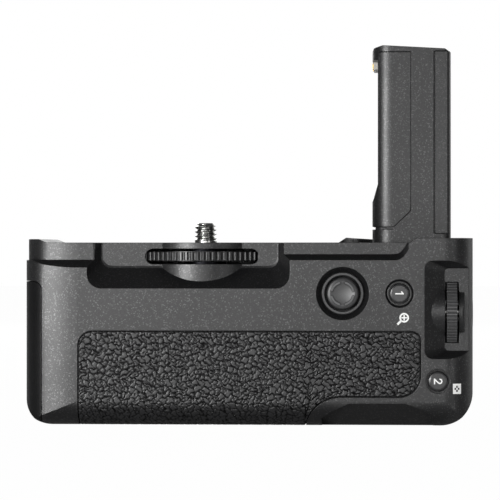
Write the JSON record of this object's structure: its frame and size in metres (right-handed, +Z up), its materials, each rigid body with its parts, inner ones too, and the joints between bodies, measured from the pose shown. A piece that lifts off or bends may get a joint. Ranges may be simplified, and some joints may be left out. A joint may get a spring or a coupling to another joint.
{
  "type": "camera battery grip",
  "caption": "Vertical camera battery grip with a battery-shaped tower, screw thumbwheel, slide-out battery magazine, dials, stick and shutter button.",
  "frame": {"origin": "on the camera screw's axis at the deck plane", "axes": "+X to the right seen from behind, +Y forward towards the lens side, +Z up out of the deck"},
  "size_m": [0.1291, 0.0685, 0.1093],
  "materials": {
    "body_plastic": "fine-grained moulded charcoal",
    "rubber": "leather-grained black",
    "control_plastic": "satin black",
    "dark_plastic": "plain black",
    "pale_plastic": "plain off-white",
    "steel": "turned",
    "aluminium": "plain sheet",
    "black_metal": "satin black",
    "gilt": "gold-plated",
    "board": "solder-masked",
    "flex_film": "amber film"
  },
  "bodies": {
    "grip": {"rear_shell": "body_plastic", "front_shell": "body_plastic", "base_plate": "body_plastic", "top_cover": "body_plastic", "rear_grip_rubber": "rubber", "front_grip_rubber": "rubber", "deck_pad": "rubber", "tower_shell": "body_plastic", "tower_left_cover": "body_plastic", "tower_side_panel": "body_plastic", "terminal_block": "pale_plastic", "tower_contacts": "gilt", "wave_washer": "steel", "chassis_plate": "aluminium", "chassis_screws": "steel", "main_board": "board", "flex_cable": "flex_film", "tripod_plate": "steel", "tripod_bush": "steel", "case_screws": "steel", "stick_ring": "black_metal", "stick_housing": "dark_plastic", "control_board": "board", "hold_board": "board", "tact_switches": "dark_plastic", "rear_dial_bracket": "aluminium", "rear_dial_encoder": "dark_plastic", "front_dial_bracket": "aluminium", "front_dial_encoder": "dark_plastic", "shutter_collar": "black_metal", "end_board": "board", "contact_block": "dark_plastic", "contact_pins": "gilt"},
    "thumbwheel": {"lock_wheel": "control_plastic", "camera_screw": "steel", "retaining_clip": "steel"},
    "rear_dial_body": {"rear_dial": "control_plastic", "rear_dial_shaft": "steel"},
    "front_dial_body": {"front_dial": "control_plastic", "front_dial_shaft": "steel"},
    "stick_press_body": {"stick_carrier": "pale_plastic"},
    "stick_gimbal_body": {"stick_gimbal": "steel"},
    "stick_body": {"stick_cap": "control_plastic"},
    "focus_button_body": {"focus_button": "control_plastic"},
    "hold_button_body": {"hold_button": "control_plastic"},
    "shutter_body": {"shutter_button": "black_metal"},
    "power_lever_body": {"power_lever": "control_plastic"},
    "side_upper_body": {"side_button_upper": "control_plastic"},
    "side_lower_body": {"side_button_lower": "control_plastic"},
    "magazine": {"magazine_tray": "dark_plastic", "magazine_end_cap": "body_plastic", "magazine_contacts": "gilt", "bay_springs": "steel"},
    "lock_body": {"lock_knob": "control_plastic", "lock_cam": "steel"}
  },
  "joints": [
    {"name": "thumbwheel_turn", "type": "hinge", "parent": "grip", "child": "thumbwheel", "pos_m": [0, 0, 0], "axis": [0, 0, 1], "continuous": true},
    {"name": "rear_dial_turn", "type": "hinge", "parent": "grip", "child": "rear_dial_body", "pos_m": [0.07155, -0.0097, -0.0199], "axis": [1, 0, 0], "continuous": true},
    {"name": "front_dial_turn", "type": "hinge", "parent": "grip", "child": "front_dial_body", "pos_m": [0.07155, 0.0362, -0.0199], "axis": [1, 0, 0], "continuous": true},
    {"name": "stick_press", "type": "slide", "parent": "grip", "child": "stick_press_body", "axis": [0, 1, 0], "range_m": [0, 0.0005], "stiffness_N_per_m": 2000},
    {"name": "stick_tilt_up_down", "type": "hinge", "parent": "stick_press_body", "child": "stick_gimbal_body", "pos_m": [0.0405, -0.0162, -0.0145], "axis": [1, 0, 0], "range_deg": [-5, 5], "stiffness_Nm_per_rad": 0.03},
    {"name": "stick_tilt_sideways", "type": "hinge", "parent": "stick_gimbal_body", "child": "stick_body", "pos_m": [0.0405, -0.0162, -0.0145], "axis": [0, 0, 1], "range_deg": [-5, 5], "stiffness_Nm_per_rad": 0.03},
    {"name": "focus_press", "type": "slide", "parent": "grip", "child": "focus_button_body", "axis": [0, 1, 0], "range_m": [0, 0.0006], "stiffness_N_per_m": 1500},
    {"name": "hold_press", "type": "slide", "parent": "grip", "child": "hold_button_body", "axis": [0, 1, 0], "range_m": [0, 0.0006], "stiffness_N_per_m": 1500},
    {"name": "shutter_press", "type": "slide", "parent": "grip", "child": "shutter_body", "axis": [-1, 0, 0], "range_m": [0, 0.001], "stiffness_N_per_m": 1500},
    {"name": "power_switch", "type": "hinge", "parent": "grip", "child": "power_lever_body", "pos_m": [0.0775, 0.0155, -0.021], "axis": [1, 0, 0], "range_deg": [0, 35]},
    {"name": "side_upper_press", "type": "slide", "parent": "grip", "child": "side_upper_body", "axis": [-1, 0, 0], "range_m": [0, 0.0006], "stiffness_N_per_m": 1500},
    {"name": "side_lower_press", "type": "slide", "parent": "grip", "child": "side_lower_body", "axis": [-1, 0, 0], "range_m": [0, 0.0006], "stiffness_N_per_m": 1500},
    {"name": "magazine_slide", "type": "slide", "parent": "grip", "child": "magazine", "axis": [-1, 0, 0], "range_m": [0, 0.112]},
    {"name": "magazine_lock", "type": "hinge", "parent": "magazine", "child": "lock_body", "pos_m": [-0.051, 0.00435, -0.03165], "axis": [1, 0, 0], "range_deg": [0, 90]}
  ]
}
